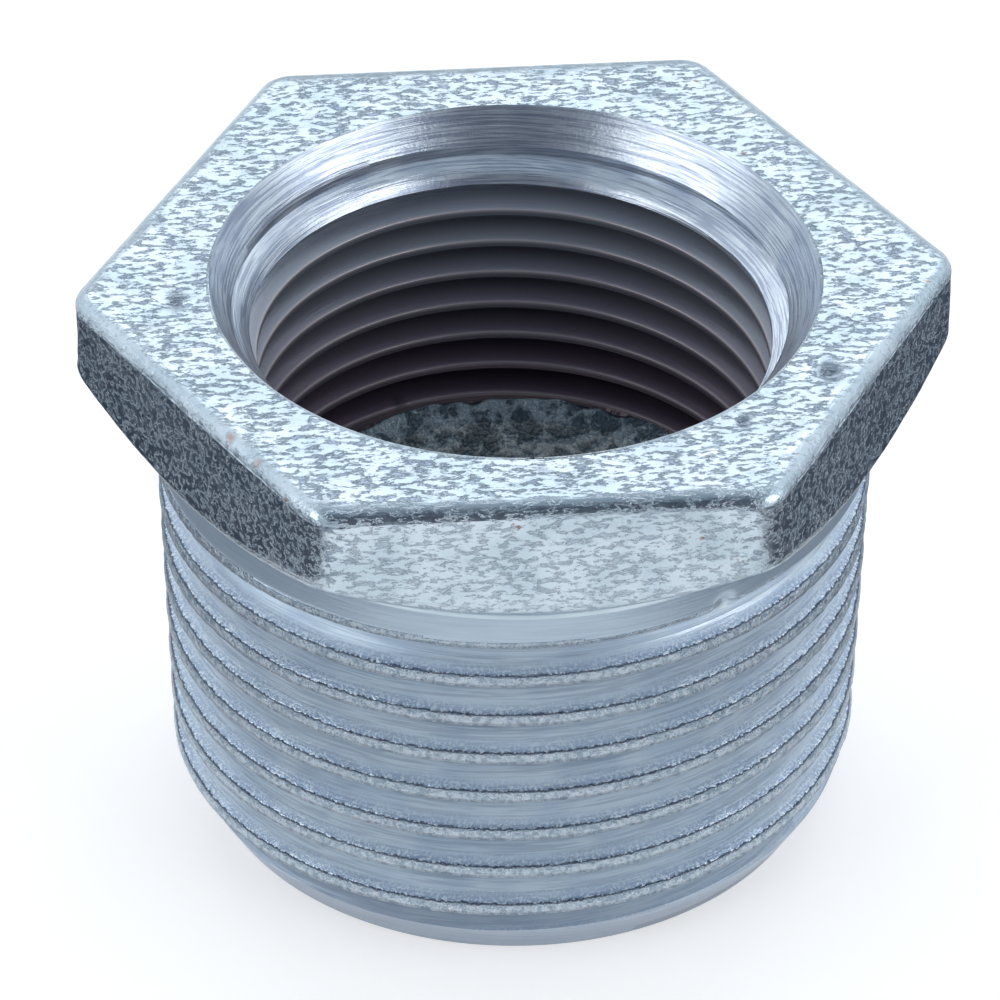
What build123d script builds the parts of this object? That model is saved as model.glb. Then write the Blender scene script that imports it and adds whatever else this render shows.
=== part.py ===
from build123d import *
from build123d.topology import SkipClean

import os
from math import atan, ceil, cos, degrees, radians, tan

# Hexagon reducing bushing, BSP 1 inch outside to 3/4 inch inside: one casting, machined and zinc coated.
# Millimetres. Z is the axis of both threads. The origin is the centre of the small male end, and
# the hexagon collar is at the top. Two of the wrench flats face +Y and -Y.


# Whitworth thread form, shared by both threads
thread_angle = 55.0
depth_per_pitch = 0.6403
flat_per_pitch = 1 / 6
cutter_overlap = 0.25         # how far a groove's cutter stands clear of the crests

# Male taper thread R 1
male_pitch = 2.309
male_gauge_diameter = 33.249  # over the crests at the gauge plane
male_gauge_length = 10.4      # from the small end to the gauge plane
male_taper = 1 / 16           # on diameter
male_thread_length = 19.75    # from the small end to where the last groove has run out
male_groove_phase = 0.62      # height of a groove's middle on the +X side
male_rim_diameter = 29.4      # small end, at the foot of the lead chamfer
male_lead_length = 2.9
neck_length = 1.73            # plain length between the thread and the collar

# Hexagon collar, as cast
across_flats = 36.0
corner_height = 4.15          # straight height of the collar at a sharp corner
underside_slope = 35.0        # degrees below level, from the corners in to the neck
corner_round = 1.8            # upright corners
top_edge_round = 0.65
lower_edge_round = 0.8
neck_round = 0.6              # hollow between the collar's underside and the neck

# Female parallel thread Rp 3/4
female_pitch = 1.814
female_root_diameter = 26.441
female_depth = 15.9           # from the top face to the end of the machined wall
female_land = 0.74            # from that end up to the middle of the groove's lower end
mouth_diameter = 28.5
mouth_angle = 70.0            # included angle of the countersink

# As-cast bore below the female thread
cast_bore_diameter = 22.4
shoulder_slope = 40.0         # degrees below level, from the machined wall in to the bore
cast_rim_chamfer = 0.4        # at the small end


def male_crest_radius(height):
    return male_gauge_diameter / 2 + (height - male_gauge_length) * male_taper / 2


# Sizes that follow from those above
corner_radius = across_flats / 2 / cos(radians(30))
underside_foot = male_thread_length + neck_length
neck_radius = male_crest_radius(underside_foot)
underside_drop = (corner_radius - neck_radius) * tan(radians(underside_slope))
collar_foot = underside_foot + underside_drop
total_height = collar_foot + corner_height
female_end = total_height - female_depth
female_crest_radius = female_root_diameter / 2 - depth_per_pitch * female_pitch


def outline(*corners):
    """The half section of a turned shape, from (radius, height) corners."""
    return Plane.XZ * make_face(Polyline(*corners, close=True))


def groove_turn(pitch, outward, crest_radius, start, half_taper=0.0):
    """One turn of a right-hand helical cutter, which starts on the +X side at height start.

    crest_radius is measured at the start, and outward is 1 for a female thread and -1 for a male one.
    """
    slope = atan(half_taper)
    depth = depth_per_pitch * pitch
    root_width = flat_per_pitch * pitch
    mouth_width = root_width + 2 * (depth + cutter_overlap) * tan(radians(thread_angle / 2))
    corners = [
        (-outward * cutter_overlap, -mouth_width / 2),
        (-outward * cutter_overlap, mouth_width / 2),
        (outward * depth, root_width / 2),
        (outward * depth, -root_width / 2),
    ]
    edges = [
        Helix(
            pitch / cos(slope),
            pitch,
            crest_radius + offset,
            center=(0, 0, start + height),
            cone_angle=degrees(slope),
        ).edge()
        for offset, height in corners
    ]
    sides = [Face.make_surface_from_curves(edges[index - 1], edge) for index, edge in enumerate(edges)]
    ends = [make_face(Polyline(*[edge @ end for edge in edges], close=True)).face() for end in (0, 1)]
    return Solid(Shell(sides + ends))


def blank():
    """The casting with its outside turned, before the threads and the bore."""
    prism = extrude(RegularPolygon(corner_radius, 6), total_height)
    prism = fillet(prism.edges().filter_by(Axis.Z), corner_round)
    profile = outline(
        (0, 0),
        (male_rim_diameter / 2, 0),
        (male_crest_radius(male_lead_length), male_lead_length),
        (neck_radius, underside_foot),
        (corner_radius, collar_foot),
        (corner_radius, total_height),
        (0, total_height),
    )
    neck_corner = profile.vertices().sort_by_distance((neck_radius, 0, underside_foot))[0]
    body = prism & revolve(fillet(neck_corner, neck_round), Axis.Z)
    underside = body.faces().filter_by(GeomType.CONE).sort_by(Axis.Z)[-1]
    rims = [edge for edge in underside.edges() if edge.geom_type not in (GeomType.CIRCLE, GeomType.LINE)]
    body = fillet(rims, lower_edge_round)
    return fillet(body.faces().sort_by(Axis.Z)[-1].edges(), top_edge_round)


def bore_halves():
    """The countersink, the wall that carries the female thread and the as-cast bore, as two half turns."""
    cast_radius = cast_bore_diameter / 2
    shoulder_drop = (female_crest_radius - cast_radius) * tan(radians(shoulder_slope))
    mouth_depth = (mouth_diameter / 2 - female_crest_radius) / tan(radians(mouth_angle / 2))
    half = revolve(
        outline(
            (0, 0),
            (cast_radius + cast_rim_chamfer, 0),
            (cast_radius, cast_rim_chamfer),
            (cast_radius, female_end - shoulder_drop),
            (female_crest_radius, female_end),
            (female_crest_radius, total_height - mouth_depth),
            (mouth_diameter / 2, total_height),
            (0, total_height),
        ),
        Axis.Z,
        180,
    )
    return [half, Rot(0, 0, 180) * half]


def female_grooves():
    """The female thread's groove, one cutter for each turn, from its lower end out through the mouth."""
    start = female_end + female_land
    turns = ceil((total_height - start) / female_pitch) + 1
    return [
        groove_turn(female_pitch, 1, female_crest_radius, start + turn * female_pitch)
        for turn in range(turns)
    ]


def male_grooves():
    """The male thread's groove, one cutter for each turn. It grows shallow over the last pitch."""
    depth = depth_per_pitch * male_pitch
    end_radius = male_crest_radius(male_thread_length)
    wall = 2 * corner_radius
    runout = revolve(
        outline(
            (0, male_thread_length - 2 * male_pitch),
            (end_radius - 2 * depth, male_thread_length - 2 * male_pitch),
            (end_radius, male_thread_length),
            (wall, male_thread_length),
            (wall, total_height + male_pitch),
            (0, total_height + male_pitch),
        ),
        Axis.Z,
    )
    turns = ceil((male_thread_length - male_groove_phase) / male_pitch)
    starts = [male_groove_phase + turn * male_pitch for turn in range(-1, turns)]
    cutters = [
        groove_turn(male_pitch, -1, male_crest_radius(start), start, male_taper / 2)
        for start in starts
    ]
    return [cutter - runout for cutter in cutters]


bushing = blank()
with SkipClean():
    for cutter in bore_halves() + female_grooves() + male_grooves():
        bushing -= cutter

os.makedirs("parts", exist_ok=True)
export_step(bushing, "parts/bushing_body.step")
print(f"valid {bushing.is_valid}, height {total_height:.2f} mm, volume {bushing.volume:.0f} mm3")
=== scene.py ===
from math import atan, cos, pi, radians, sin, tan

import bmesh
import bpy
import numpy as np
from mathutils import Matrix, Vector, noise


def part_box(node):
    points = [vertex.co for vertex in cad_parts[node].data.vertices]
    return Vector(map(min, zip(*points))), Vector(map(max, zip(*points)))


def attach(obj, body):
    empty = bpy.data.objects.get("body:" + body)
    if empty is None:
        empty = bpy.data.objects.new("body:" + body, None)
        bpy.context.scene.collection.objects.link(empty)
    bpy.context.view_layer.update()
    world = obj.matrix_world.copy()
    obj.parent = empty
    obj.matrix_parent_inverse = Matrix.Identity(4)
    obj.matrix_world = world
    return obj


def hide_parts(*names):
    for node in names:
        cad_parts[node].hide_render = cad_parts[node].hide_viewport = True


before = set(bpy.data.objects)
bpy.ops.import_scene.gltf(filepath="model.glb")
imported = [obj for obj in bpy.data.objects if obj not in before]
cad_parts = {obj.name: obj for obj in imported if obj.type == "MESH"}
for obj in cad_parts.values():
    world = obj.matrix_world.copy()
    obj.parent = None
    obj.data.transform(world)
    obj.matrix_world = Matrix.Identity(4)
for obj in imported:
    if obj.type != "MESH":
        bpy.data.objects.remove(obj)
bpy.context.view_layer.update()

MM = 0.001

# ---------------------------------------------------------------- the part's sizes, in millimetres
high = np.array(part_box("bushing_body")[1]) / MM
top = high[2]
apothem = high[1]
corner_round = 1.8
top_round = 0.65
lower_round = 0.8
neck_round = 0.6
underside_slope = radians(35)

flank = tan(radians(27.5))    # axial run of a thread's flank for each unit of depth

male_pitch = 2.309
male_depth = 1.38
male_root = 0.372
male_crest_low = 1.576        # height of a crest's lower edge on the +X side
male_gauge = 10.4
male_gauge_radius = 33.249 / 2
male_taper = 1 / 32
male_end = 19.75
neck_foot = 21.48
rim_radius = 14.7
lead_length = 2.9

female_pitch = 1.814
female_crest_radius = 12.059
female_depth = 1.1615
female_root = 0.302
female_end = top - 15.9
female_first = female_end + 0.74
mouth_radius = 14.25
mouth_slope = radians(35)     # of the countersink, from the axis
bore_radius = 11.2
shoulder_slope = radians(40)
bore_chamfer = 0.4

male_worn_edge = 0.26         # how far a crest's upper edge is worn round
female_worn_edge = 0.06

# ---------------------------------------------------------------- rows of the meshes
AROUND = 600
top_rows = 38
top_edge_rows = 7
wall_rows = 30
lower_edge_rows = 6
underside_rows = 22
hollow_rows = 5
shoulder_rows = 4
bore_rows = 24
chamfer_rows = 2
end_rows = 6
theta = np.linspace(0, 2 * pi, AROUND + 1)
turn = theta / (2 * pi)
ones = np.ones_like(theta)


def male_crest(height):
    return male_gauge_radius + (height - male_gauge) * male_taper


neck_radius = male_crest(neck_foot)
end_radius = male_crest(male_end)


def steps(count):
    """Even steps from just past 0 to 1."""
    return np.arange(1, count + 1) / count


def lerp(a, b, t):
    return a + (b - a) * t


def wander(points, size, seed):
    """Smooth noise from -1 to 1 at each point, with features of about that size in millimetres."""
    shift = Vector((seed * 17.3, seed * -9.1, seed * 5.7))
    return np.array([noise.noise(Vector(p) / size + shift) for p in points])


def hexagon(inset):
    """Distance from the axis to the collar's rounded outline, moved in by inset, for each angle."""
    flat_distance = apothem - inset
    corner = max(corner_round - inset, 0.05)
    from_flat = np.abs(theta % (pi / 3) - pi / 6)
    from_corner = pi / 6 - from_flat
    reach = (flat_distance - corner) / cos(pi / 6)
    arc = reach * np.cos(from_corner) + np.sqrt(np.maximum(corner**2 - (reach * np.sin(from_corner)) ** 2, 0))
    tangent = atan((flat_distance - corner) * tan(pi / 6) / flat_distance)
    return np.where(from_flat < tangent, flat_distance / np.cos(from_flat), arc)


# ---------------------------------------------------------------- rings: radius, height and profile
# On the threads profile runs 0 to 1 up a crest, to 2 at the root, to 3 across it and back to 4 at the next
# crest. It is SMOOTH on plain turned faces. On the collar it is how rough the casting is.
# On the collar it also sets how dark the pits are painted as shade.
SMOOTH = 1.8


def collar_rings():
    """The as-cast collar, from the mouth out and down to the neck."""
    edge = hexagon(top_round)
    rings = [(mouth_radius, top, 0.3)]
    rings += [(lerp(mouth_radius, edge, t), top, 1 - 0.5 * t**12) for t in steps(top_rows)]
    for a in steps(top_edge_rows) * pi / 2:
        outline = hexagon(top_round * (1 - sin(a)))
        rings.append((outline, top - top_round * (1 - cos(a)), 0.5 - 0.35 * sin(2 * a)))
    wall = hexagon(0)
    corner = neck_foot + (wall - neck_radius) * tan(underside_slope)
    turned = pi / 2 - underside_slope
    cut = lower_round * tan(turned / 2)
    front = np.clip((pi / 6 - np.abs(theta - 1.5 * pi)) * 12, 0, 1)   # the flat towards -Y is the smoothest
    for t in steps(wall_rows):
        rough = (1.2 - 0.6 * t**6) * (1 - 0.6 * front)
        rings.append((wall, lerp(top - top_round, corner + cut, t), rough))
    for a in steps(lower_edge_rows) * turned:
        rings.append((wall - lower_round * (1 - cos(a)), corner + cut - lower_round * sin(a), 0.4))
    start = rings[-1]
    cut = neck_round * tan(turned / 2)
    hollow = (neck_radius + neck_round, neck_foot - cut)
    for t in steps(underside_rows):
        rings.append((lerp(start[0], hollow[0] - neck_round * cos(turned), t),
                      lerp(start[1], hollow[1] + neck_round * sin(turned), t), 1 - t**3))
    for b in (1 - steps(hollow_rows)) * turned:
        rings.append((hollow[0] - neck_round * cos(b), hollow[1] + neck_round * sin(b), 0))
    return rings


def thread_rows(pitch, depth, root, edge, crest_steps, flank_steps):
    """(height above a crest's lower edge, depth below the crest, profile) of the rows of one turn."""
    run = depth * flank
    crest = pitch - root - 2 * run
    rows = [((crest - edge) * t, 0, (1 - edge / crest) * t) for t in np.linspace(0, 1, crest_steps)]
    worn = edge / depth           # share of the flank that the worn edge takes
    last = 0.05                   # share of the depth at the last row, just short of the next crest
    for t in steps(4):
        rows.append((lerp(crest - edge * (1 - t) ** 2, crest + run * worn, t**2), depth * worn * t**2,
                     lerp(1 - edge / crest, 1 + worn, t)))
    down = worn + (1 - worn) * steps(flank_steps)
    rows += [(crest + run * t, depth * t, 1 + t) for t in down]
    rows.append((crest + run + root, depth, 3))
    rows += [(crest + run + root + run * (1 - t), depth * t, 4 - t) for t in (*down[-2::-1], last)]
    return rows


neck_top = collar_rings()[-1][1]


def male_rings():
    """The taper thread from the small end up to the neck, as rows that climb with the helix."""
    rings = []
    turn_rows = thread_rows(male_pitch, male_depth, male_root, male_worn_edge, crest_steps=3, flank_steps=3)
    for k in range(-2, int(neck_top / male_pitch) + 1):
        for rise, dip, profile in turn_rows:
            height = np.clip(male_crest_low + male_pitch * (k + turn) + rise, 0, neck_top)
            runout = end_radius - (male_end - height) / male_pitch * male_depth
            cut = np.maximum(male_crest(height) - dip, runout)
            groove = np.where(height > male_end, male_crest(height), cut)
            lead = lerp(rim_radius, male_crest(lead_length), height / lead_length)
            plain = (height > male_end) | (lead < groove) | (runout > male_crest(height) - dip)
            rings.append((np.minimum(groove, lead), height, np.where(plain, SMOOTH, profile)))
    return rings


def bore_rings():
    """From the mouth down: the countersink and the parallel thread, the as-cast bore and the small end."""
    rings = []
    turn_rows = thread_rows(female_pitch, female_depth, female_root, female_worn_edge,
                            crest_steps=2, flank_steps=2)
    middle = female_pitch - female_root / 2 - female_depth * flank
    for k in range(int((top - female_end) / female_pitch) + 1, -3, -1):
        for rise, dip, profile in reversed(turn_rows):
            height = female_first + female_pitch * (k + turn) + rise - middle
            turns_in = np.floor((height - female_first) / female_pitch - turn + 0.5) + turn
            started = np.clip(turns_in * 12, 0, 1)      # the groove deepens over a twelfth of a turn
            height = np.clip(height, female_end, top)
            mouth = mouth_radius - (top - height) * tan(mouth_slope)
            radius = female_crest_radius + dip * started
            rings.append((np.maximum(radius, mouth), height, np.where(mouth > radius, SMOOTH, profile)))
    foot = female_end - (female_crest_radius - bore_radius) * tan(shoulder_slope)
    for t in steps(shoulder_rows):
        rings.append((lerp(female_crest_radius, bore_radius, t), lerp(female_end, foot, t), SMOOTH))
    rings += [(bore_radius, lerp(foot, bore_chamfer, t), SMOOTH) for t in steps(bore_rows)]
    rings += [(bore_radius + bore_chamfer * t, bore_chamfer * (1 - t), SMOOTH) for t in steps(chamfer_rows)]
    rings += [(lerp(bore_radius + bore_chamfer, rim_radius, t), 0, SMOOTH) for t in steps(end_rows)]
    return rings


# ---------------------------------------------------------------- single marks and wear, in millimetres
# Places of the photo's larger marks. It doesn't show extra_pit, and bore_gash and mouth_stain sit a little
# off the surface, so they hardly colour it.
deep_pit = (13.8, -8.5, top)
small_pit = (9.5, -12.1, top)
shiny_lump = (7.8, -14.3, top)
extra_pit = (-15.9, -0.7, top)
runout_nick = (8.5, -14.7, 19.7)
bore_gash = (-4.6, 11.1, 13.3)
mouth_stain = (9.8, 8.6, 28.3)
left_specks = ((-14.0, -11.5, top), (-12.9, -13.6, top))


def near(points, place, size):
    """1 at a place, falling smoothly to 0 a few times size away."""
    return np.exp(-np.sum(((points - np.array(place)) / size) ** 2, axis=1))


def cast_wear(points, profile):
    """Uneven casting with single pits, and a lump that stands in a hollow ring."""
    uneven = 0.05 + 0.05 * wander(points, 2.4, 1) + 0.04 * wander(points, 0.7, 2)
    pits = (0.34 * near(points, deep_pit, 0.55) + 0.22 * near(points, small_pit, 0.4)
            + 0.2 * near(points, extra_pit, 0.6))
    ring = 0.2 * near(points, shiny_lump, 0.75) - 0.3 * near(points, shiny_lump, 0.4)
    return np.minimum(profile, 0.9) * uneven + pits + ring


def crest_wear(points, profile):
    """Torn crests, and one nick at the run-out."""
    torn = np.where(profile <= 1.05, 0.06 * wander(points, 0.5, 3) + 0.03 * wander(points, 2.0, 4), 0)
    return torn + 0.4 * near(points, runout_nick, 0.45)


def bore_wear(points, profile):
    """Uneven as-cast wall below the machined one."""
    cast = (points[:, 2] < female_end - 0.2) & (points[:, 2] > bore_chamfer)
    return np.where(cast, 0.09 + 0.09 * wander(points, 1.2, 5), 0)


def skin(name, rings, material, sharp, wear):
    """A mesh through rings, worn in by wear in millimetres, with profile kept on its vertices.

    Rings climb where the material is inside them and go down where it is outside, so wear goes into it.
    """
    radius, height, profile = (np.array([ring[i] * ones for ring in rings]) for i in range(3))
    points = np.stack([radius * np.cos(theta), radius * np.sin(theta), height], axis=-1)
    depth = np.maximum(wear(points.reshape(-1, 3), profile.ravel()), 0).reshape(radius.shape)
    depth[[0, -1]] = 0
    out, rise = np.gradient(height, axis=0), -np.gradient(radius, axis=0)
    length = np.maximum(np.hypot(out, rise), 1e-9)
    radius, height = radius - depth * out / length, height - depth * rise / length
    points = np.stack([radius * np.cos(theta), radius * np.sin(theta), height], axis=-1) * MM
    rows, columns = radius.shape
    index = np.arange(rows * columns).reshape(rows, columns)
    quads = np.stack([index[:-1, :-1], index[1:, :-1], index[1:, 1:], index[:-1, 1:]], axis=-1)
    mesh = bpy.data.meshes.new(name)
    mesh.from_pydata(points.reshape(-1, 3).tolist(), [], quads.reshape(-1, 4).tolist())
    mesh.attributes.new("profile", "FLOAT", "POINT").data.foreach_set("value", profile.ravel())
    shape = bmesh.new()
    shape.from_mesh(mesh)
    bmesh.ops.remove_doubles(shape, verts=shape.verts, dist=1e-8)
    bmesh.ops.dissolve_degenerate(shape, edges=shape.edges, dist=1e-8)
    bmesh.ops.recalc_face_normals(shape, faces=shape.faces)
    shape.to_mesh(mesh)
    shape.free()
    mesh.shade_smooth()
    mesh.set_sharp_from_angle(angle=sharp)
    mesh.materials.append(material)
    piece = bpy.data.objects.new(name, mesh)
    bpy.context.scene.collection.objects.link(piece)
    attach(piece, "root")
    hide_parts("bushing_body")


# ---------------------------------------------------------------- materials
class Nodes:
    """Short names for the nodes of one material."""

    def __init__(self, name):
        self.material = bpy.data.materials.new(name)
        self.material.use_nodes = True
        self.tree = self.material.node_tree
        self.shader = self.tree.nodes["Principled BSDF"]
        place = self.add("ShaderNodeTexCoord").outputs["Object"]
        self.position = self.scaled(place, (1 / MM, 1 / MM, 1 / MM))

    def add(self, kind, **settings):
        node = self.tree.nodes.new(kind)
        for key, value in settings.items():
            setattr(node, key, value)
        return node

    def feed(self, socket, value):
        if isinstance(value, bpy.types.NodeSocket):
            self.tree.links.new(value, socket)
        else:
            socket.default_value = value

    def math(self, operation, a, b=0.0, c=0.0):
        node = self.add("ShaderNodeMath", operation=operation)
        for socket, value in zip(node.inputs, (a, b, c)):
            self.feed(socket, value)
        return node.outputs[0]

    def scaled(self, vector, factors):
        node = self.add("ShaderNodeVectorMath", operation="MULTIPLY")
        self.feed(node.inputs[0], vector)
        self.feed(node.inputs[1], factors)
        return node.outputs[0]

    def noise(self, size, detail=3.0, roughness=0.55, vector=None, stretch=(1, 1, 1)):
        node = self.add("ShaderNodeTexNoise")
        self.feed(node.inputs["Vector"], self.scaled(vector or self.position, stretch))
        node.inputs["Scale"].default_value = 1 / size
        node.inputs["Detail"].default_value = detail
        node.inputs["Roughness"].default_value = roughness
        return node.outputs["Fac"]

    def span(self, value, low, high, to_low=0.0, to_high=1.0):
        node = self.add("ShaderNodeMapRange", interpolation_type="SMOOTHSTEP")
        for socket, item in zip(node.inputs, (value, low, high, to_low, to_high)):
            self.feed(socket, item)
        return node.outputs[0]

    def mix(self, factor, a, b):
        node = self.add("ShaderNodeMix", data_type="RGBA")
        self.feed(node.inputs[0], factor)
        self.feed(node.inputs[6], a)
        self.feed(node.inputs[7], b)
        return node.outputs[2]

    def attribute(self, name):
        return self.add("ShaderNodeAttribute", attribute_name=name).outputs["Fac"]

    def bump(self, height, distance, normal=None):
        """A bump whose height runs from 0 to 1 over distance, in millimetres."""
        node = self.add("ShaderNodeBump")
        node.inputs["Strength"].default_value = 1
        node.inputs["Distance"].default_value = distance * MM
        self.feed(node.inputs["Height"], height)
        if normal:
            self.feed(node.inputs["Normal"], normal)
        return node.outputs[0]

    def spot(self, place, size):
        """1 at a place, in millimetres, and 0 from size away, with a ragged edge."""
        gap = self.add("ShaderNodeVectorMath", operation="DISTANCE")
        self.feed(gap.inputs[0], self.position)
        self.feed(gap.inputs[1], place)
        edge = self.math("MULTIPLY_ADD", self.noise(0.6), size, gap.outputs["Value"])
        return self.span(edge, size * 1.5, size * 0.7)

    def around(self):
        """Height, and noise in fine lines that run round the axis."""
        parts = self.add("ShaderNodeSeparateXYZ")
        self.feed(parts.inputs[0], self.position)
        length = self.add("ShaderNodeVectorMath", operation="LENGTH")
        self.feed(length.inputs[0], self.scaled(self.position, (1, 1, 0)))
        height, radius = parts.outputs["Z"], length.outputs["Value"]
        across = self.add("ShaderNodeCombineXYZ")
        self.feed(across.inputs[0], radius)
        self.feed(across.inputs[2], height)
        slow = self.add("ShaderNodeVectorMath", operation="MULTIPLY_ADD")
        self.feed(slow.inputs[0], self.position)
        self.feed(slow.inputs[1], (0.03, 0.03, 0))
        self.feed(slow.inputs[2], across.outputs[0])
        return height, self.noise(0.13, 2, 0.7, vector=slow.outputs[0])


def cast_zinc():
    """Galvanised casting: light plateaus with pits painted dark as shade between them, rust specks and the
    single marks.
    """
    dull_zinc, bright_zinc = (0.50, 0.60, 0.67, 1), (0.59, 0.68, 0.75, 1)
    pit_shade_blue, deep_pit_shade = (0.13, 0.18, 0.29, 1), (0.09, 0.11, 0.17, 1)
    rust_brown, polished = (0.36, 0.20, 0.14, 1), (0.88, 0.93, 0.95, 1)
    lump_height, grain_height, fine_height = 0.3, 0.085, 0.012    # of the bumps, in millimetres
    n = Nodes("cast_zinc")
    rough = n.attribute("profile")
    grain = n.noise(0.42, 4, 0.7, stretch=(0.6, 1.4, 1.4))
    relief = n.span(grain, 0.38, 0.50)
    lumps = n.noise(2.2, 1, 0.5)
    fine = n.noise(0.12, 1, 0.6)
    # painted shade: the pits between the plateaus are coloured dark blue, less where the casting is smoother
    painted_pit_shade = n.math("MULTIPLY", n.span(grain, 0.45, 0.39), rough)
    color = n.mix(n.span(lumps, 0.35, 0.65), dull_zinc, bright_zinc)
    color = n.mix(n.math("MULTIPLY", painted_pit_shade, 0.6), color, pit_shade_blue)
    rust = n.span(n.noise(1.1, 2, 0.7), 0.72, 0.76)
    for place in left_specks:
        rust = n.math("MAXIMUM", rust, n.spot(place, 0.5))
    color = n.mix(n.math("MULTIPLY", rust, 0.7), color, rust_brown)
    # painted shade: the single pits are coloured dark blue
    for place, size in ((deep_pit, 0.8), (small_pit, 0.6), (extra_pit, 0.6)):
        color = n.mix(n.math("MULTIPLY", n.spot(place, size), 0.8), color, deep_pit_shade)
    color = n.mix(n.spot(shiny_lump, 0.35), color, polished)
    n.feed(n.shader.inputs["Base Color"], color)
    n.shader.inputs["Metallic"].default_value = 1
    n.feed(n.shader.inputs["Roughness"], n.span(fine, 0.3, 0.7, 0.28, 0.34))
    normal = n.bump(n.math("MULTIPLY", lumps, rough), lump_height)
    normal = n.bump(n.math("MULTIPLY", relief, rough), grain_height, normal)
    n.feed(n.shader.inputs["Normal"], n.bump(fine, fine_height, normal))
    return n.material


def turned_zinc():
    """Galvanised thread and neck: turning marks near the roots, grit bumps under a painted blue reflection
    near the crests, painted glints and shade, torn crests.
    """
    dull_zinc, bright_zinc = (0.70, 0.79, 0.88, 1), (0.80, 0.88, 0.94, 1)
    mark_grey, crest_reflection_blue, glint_white = (0.30, 0.36, 0.46, 1), (0.23, 0.33, 0.50, 1), (0.86, 0.93, 0.98, 1)
    contact_shadow_grey, neck_grey, edge_shade_black = (0.24, 0.30, 0.40, 1), (0.38, 0.47, 0.56, 1), (0.05, 0.06, 0.10, 1)
    torn_dark, torn_light = (0.38, 0.47, 0.56, 1), (0.62, 0.70, 0.78, 1)
    low_foot, low_top = 1.0, 3.4                                  # height of the painted contact shadow at the lower end
    mark_height, grit_height, torn_height = 0.02, 0.05, 0.2       # of the bumps
    n = Nodes("turned_zinc")
    height, marks = n.around()
    profile = n.attribute("profile")
    sparkle = n.noise(0.15, 2, 0.7)
    tear = n.noise(0.3, 3, 0.7)
    clouds = n.noise(2.5, 1, 0.55)
    ragged = n.math("MULTIPLY_ADD", n.math("SUBTRACT", tear, 0.5), 0.5, profile)
    crest = n.span(ragged, 1.02, 0.96)
    outer = n.span(profile, 1.75, 1.0)
    # painted shade: dark lines along the crests' upper and lower edges, and darker roots
    upper_edge = n.math("MULTIPLY", n.span(ragged, 0.84, 0.96), n.span(ragged, 1.10, 1.02))
    lower_edge = n.math("MULTIPLY", n.span(profile, 0.42, 0.20), 0.4)
    hidden = n.math("MULTIPLY", n.span(profile, 1.92, 2.0), 0.3)
    color = n.mix(n.span(clouds, 0.35, 0.65), dull_zinc, bright_zinc)
    color = n.mix(n.span(marks, 0.38, 0.58), n.mix(0.4, color, mark_grey), color)
    # painted glints: white specks towards the crests
    specks = n.math("MULTIPLY", n.span(sparkle, 0.50, 0.58), outer)
    # painted contact shadow: darker towards the floor
    color = n.mix(n.span(height, low_top, low_foot, 0.0, 0.7), color, contact_shadow_grey)
    color = n.mix(n.span(height, male_end - 0.6, male_end + 0.2, 0.0, 0.75), color, neck_grey)
    # painted reflection: the flanks turn darker blue towards each crest
    color = n.mix(n.math("MULTIPLY", outer, 0.7), color, crest_reflection_blue)
    color = n.mix(n.math("MULTIPLY", specks, 0.8), color, glint_white)
    color = n.mix(crest, color, n.mix(n.span(tear, 0.40, 0.56), torn_dark, torn_light))
    # the painted shade lines and roots, mixed towards black
    dark = n.math("MAXIMUM", n.math("MULTIPLY", upper_edge, 0.75), n.math("MAXIMUM", lower_edge, hidden))
    color = n.mix(n.math("MULTIPLY", dark, 0.9), color, edge_shade_black)
    n.feed(n.shader.inputs["Base Color"], color)
    n.feed(n.shader.inputs["Metallic"], n.span(profile, 1.3, 1.05, 0.5, 0.95))
    n.feed(n.shader.inputs["Roughness"], n.span(sparkle, 0.3, 0.7, 0.30, 0.40))
    normal = n.bump(marks, mark_height)
    rough = n.math("MULTIPLY", sparkle, n.math("MULTIPLY_ADD", outer, 0.9, 0.1))
    normal = n.bump(rough, grit_height, normal)
    n.feed(n.shader.inputs["Normal"], n.bump(n.math("MULTIPLY", crest, tear), torn_height, normal))
    return n.material


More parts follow.
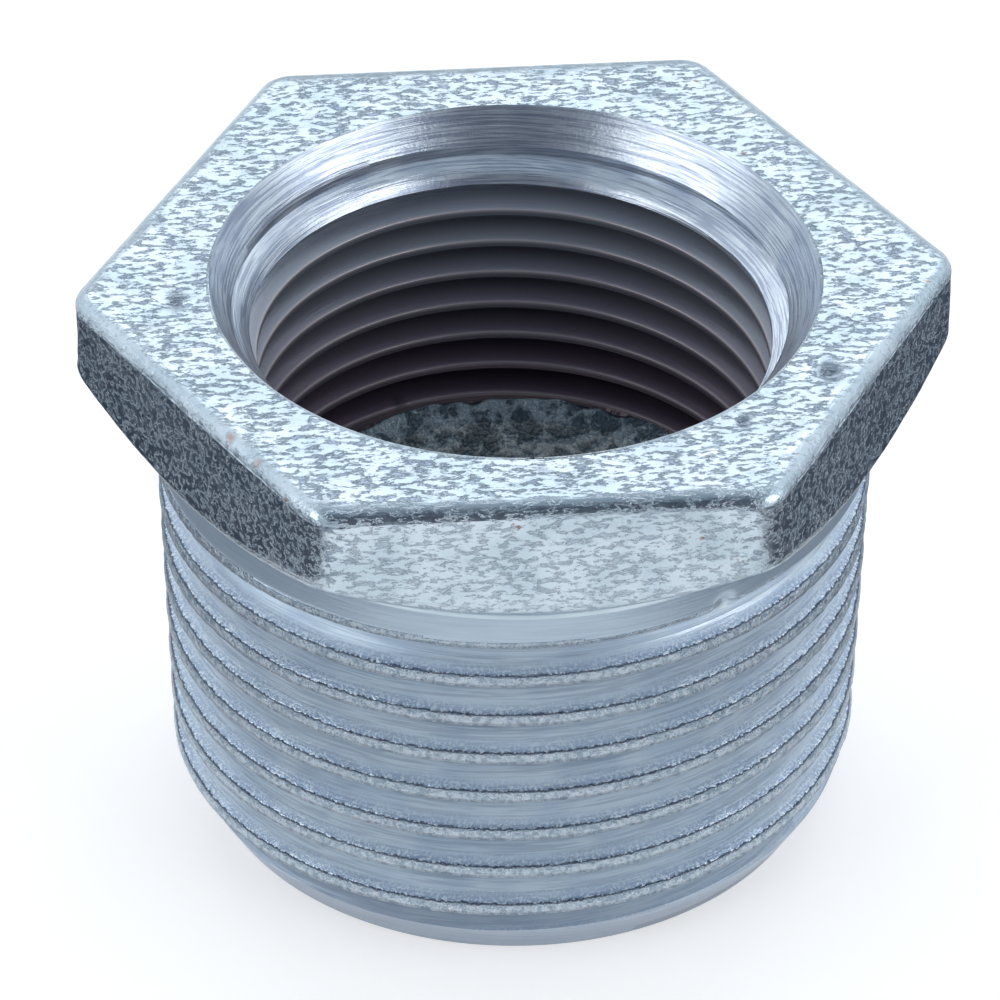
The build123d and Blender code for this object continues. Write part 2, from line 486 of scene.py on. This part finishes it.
def bore_metal():
    """Turned bare iron under a zinc mouth, with cast zinc below the machined wall, and painted shade and
    crest highlights on the thread.
    """
    dull_zinc, bright_zinc, mark_blue = (0.58, 0.64, 0.73, 1), (0.70, 0.76, 0.83, 1), (0.16, 0.20, 0.32, 1)
    shaded_deep_iron, upper_iron, crest_highlight = (0.15, 0.10, 0.14, 1), (0.31, 0.34, 0.40, 1), (0.60, 0.51, 0.51, 1)
    root_shade_and_gash_black, crest_shade_black = (0.02, 0.02, 0.03, 1), (0.03, 0.03, 0.04, 1)
    stain_brown, crust_dark, crust_light = (0.42, 0.30, 0.22, 1), (0.15, 0.20, 0.24, 1), (0.60, 0.70, 0.76, 1)
    mouth_foot, mouth_top = top - 4.2, top - 3.4                  # where iron turns into zinc
    mark_height, sparkle_height, crust_height = 0.035, 0.012, 0.7  # of the bumps
    n = Nodes("bore_metal")
    height, marks = n.around()
    profile = n.attribute("profile")
    sparkle = n.noise(0.18, 2, 0.7)
    clouds = n.noise(2.0, 1, 0.55)
    crust = n.noise(0.9, 3, 0.65)
    jagged = n.math("ADD", height, n.math("MULTIPLY", clouds, 0.8))
    cast = n.span(jagged, female_end + 0.45, female_end + 0.35)
    mouth = n.span(height, mouth_foot, mouth_top)
    depth = n.span(height, female_end, top - 2.5)
    zinc = n.mix(n.span(clouds, 0.35, 0.65), dull_zinc, bright_zinc)
    zinc = n.mix(n.span(marks, 0.43, 0.52), n.mix(0.5, zinc, mark_blue), zinc)
    # bare iron, with painted shade darker towards the bottom of the bore
    iron = n.mix(depth, shaded_deep_iron, upper_iron)
    # painted shade: each flank darker towards its root
    reach = n.span(profile, 2.0, 1.0)
    shaded = n.mix(reach, n.mix(0.55, iron, root_shade_and_gash_black), iron)
    # painted highlight: a light line along each crest's upper edge
    line = n.math("MULTIPLY", n.span(profile, 0.35, 0.95), n.span(profile, 1.15, 1.0))
    # painted shade: the crest flats darker
    crest = n.span(profile, 1.0, 0.8)
    shaded = n.mix(n.math("MULTIPLY", crest, 0.6), shaded, crest_shade_black)
    shaded = n.mix(n.math("MULTIPLY", line, 0.45), shaded, crest_highlight)
    color = n.mix(mouth, shaded, zinc)
    color = n.mix(n.math("MULTIPLY", n.spot(mouth_stain, 1.1), 0.35), color, stain_brown)
    color = n.mix(n.math("MULTIPLY", n.spot(bore_gash, 0.7), 0.8), color, root_shade_and_gash_black)
    crusted = n.mix(n.span(crust, 0.42, 0.58), crust_dark, crust_light)
    color = n.mix(cast, color, crusted)
    n.feed(n.shader.inputs["Base Color"], color)
    n.feed(n.shader.inputs["Metallic"], n.math("MULTIPLY_ADD", mouth, 0.45, 0.35))
    n.feed(n.shader.inputs["Roughness"], n.span(sparkle, 0.3, 0.7, 0.28, 0.34))
    normal = n.bump(n.math("MULTIPLY", marks, n.math("MULTIPLY_ADD", mouth, 0.8, 0.2)), mark_height)
    normal = n.bump(sparkle, sparkle_height, normal)
    n.feed(n.shader.inputs["Normal"], n.bump(n.math("MULTIPLY", crust, cast), crust_height, normal))
    return n.material


skin("collar_skin", collar_rings()[::-1], cast_zinc(), radians(60), cast_wear)
skin("male_thread_skin", male_rings(), turned_zinc(), radians(30), crest_wear)
skin("bore_skin", bore_rings(), bore_metal(), radians(30), bore_wear)

# ---------------------------------------------------------------- camera
view_elevation = radians(36.750)
view_azimuth = radians(-4.796)
view_roll = radians(-0.298)
view_distance = 378.1
pixels_per_mm = 21.475        # at that distance
picture_width = 1000          # pixels
film_width = 36
aim_right, aim_up = 0.6375, 10.4309   # from the axis of view to the middle of the top face

turned_to_view = Matrix.Rotation(view_azimuth, 3, "Z")
right = turned_to_view @ Vector((1, 0, 0))
up = turned_to_view @ Vector((0, sin(view_elevation), cos(view_elevation)))
ahead = turned_to_view @ Vector((0, cos(view_elevation), -sin(view_elevation)))
place = Vector((0, 0, top)) - view_distance * ahead - aim_right * right - aim_up * up
facing = Matrix((right, up, -ahead)).transposed() @ Matrix.Rotation(-view_roll, 3, "Z")

camera_data = bpy.data.cameras.new("camera")
camera_data.sensor_width = film_width
camera_data.lens = film_width * pixels_per_mm * view_distance / picture_width
camera_data.clip_start = 0.01
camera_data.clip_end = 10
camera = bpy.data.objects.new("camera", camera_data)
camera.matrix_world = Matrix.Translation(place * MM) @ facing.to_4x4()
bpy.context.scene.collection.objects.link(camera)
bpy.context.scene.camera = camera

# ---------------------------------------------------------------- floor and light
stage_middle = Vector((0, 0, 15)) * MM


def toward(azimuth, elevation):
    """Direction from the part: azimuth 0 is towards the camera and 90 to the camera's right."""
    angle = view_azimuth - pi / 2 + radians(azimuth)
    raised = radians(elevation)
    return Vector((cos(angle) * cos(raised), sin(angle) * cos(raised), sin(raised)))


def sheet(name, width, depth, material):
    """A flat sheet of that width and depth, in metres."""
    mesh = bpy.data.meshes.new(name)
    x, y = width / 2, depth / 2
    mesh.from_pydata([(-x, -y, 0), (x, -y, 0), (x, y, 0), (-x, y, 0)], [], [(0, 1, 2, 3)])
    mesh.materials.append(material)
    item = bpy.data.objects.new(name, mesh)
    bpy.context.scene.collection.objects.link(item)
    return item


floor_glow = 0.42              # added to the floor where the camera and reflections see it
floor_white = Nodes("floor_white")
floor_white.shader.inputs["Base Color"].default_value = (0.8, 0.8, 0.8, 1)
floor_white.shader.inputs["Roughness"].default_value = 0.9
floor_white.shader.inputs["Emission Color"].default_value = (1, 0.94, 0.88, 1)
path = floor_white.add("ShaderNodeLightPath")
seen = floor_white.math("MAXIMUM", path.outputs["Is Camera Ray"], path.outputs["Is Glossy Ray"])
seen = floor_white.math("MAXIMUM", seen, path.outputs["Is Transmission Ray"])
glow = floor_white.math("MULTIPLY", seen, floor_glow)
floor_white.feed(floor_white.shader.inputs["Emission Strength"], glow)
sheet("floor", width=4, depth=4, material=floor_white.material)

flag_black = Nodes("flag_black")
flag_black.shader.inputs["Base Color"].default_value = (0.01, 0.01, 0.015, 1)
flag_black.shader.inputs["Roughness"].default_value = 1
flag_black.shader.inputs["Emission Color"].default_value = (0.4, 0.55, 1.0, 1)
flag_black.shader.inputs["Emission Strength"].default_value = 0.045


def flag(name, azimuth, elevation, distance, width, height, facing):
    """A dark sheet that only reflections show."""
    card = sheet(name, width, height, flag_black.material)
    card.location = stage_middle + toward(azimuth, elevation) * distance
    card.rotation_euler = facing
    card.visible_camera = card.visible_diffuse = card.visible_shadow = False


def softbox(name, azimuth, elevation, distance, width, height, radiance):
    """An area lamp that faces the part and looks as bright as radiance in it."""
    lamp = bpy.data.lights.new(name, "AREA")
    lamp.shape = "RECTANGLE"
    lamp.size = width
    lamp.size_y = height
    lamp.energy = radiance * width * height * pi
    box = bpy.data.objects.new(name, lamp)
    direction = toward(azimuth, elevation)
    box.location = stage_middle + direction * distance
    box.rotation_euler = direction.to_track_quat("Z", "Y").to_euler()
    box.visible_camera = False
    bpy.context.scene.collection.objects.link(box)


for side in (-1, 1):
    softbox("softbox_side", azimuth=68 * side, elevation=26, distance=0.7,
            width=0.62, height=0.36, radiance=2.2)
    softbox("softbox_back_side", azimuth=133 * side, elevation=36, distance=0.8,
            width=0.72, height=0.66, radiance=0.65)
    flag("flag_floor", azimuth=84 * side, elevation=-11, distance=0.078,
         width=0.10, height=0.16, facing=(0, 0, view_azimuth))
softbox("softbox_back", azimuth=180, elevation=36, distance=0.8,
        width=0.75, height=0.66, radiance=1.2)
flag("flag_front", azimuth=0, elevation=33, distance=0.5, width=0.62, height=0.62,
     facing=toward(0, 33).to_track_quat("Z", "Y").to_euler())

world = bpy.data.worlds.new("studio")
bpy.context.scene.world = world
world.use_nodes = True
world.node_tree.nodes["Background"].inputs["Color"].default_value = (0.36, 0.43, 0.50, 1)

bpy.context.scene.view_settings.view_transform = "Standard"
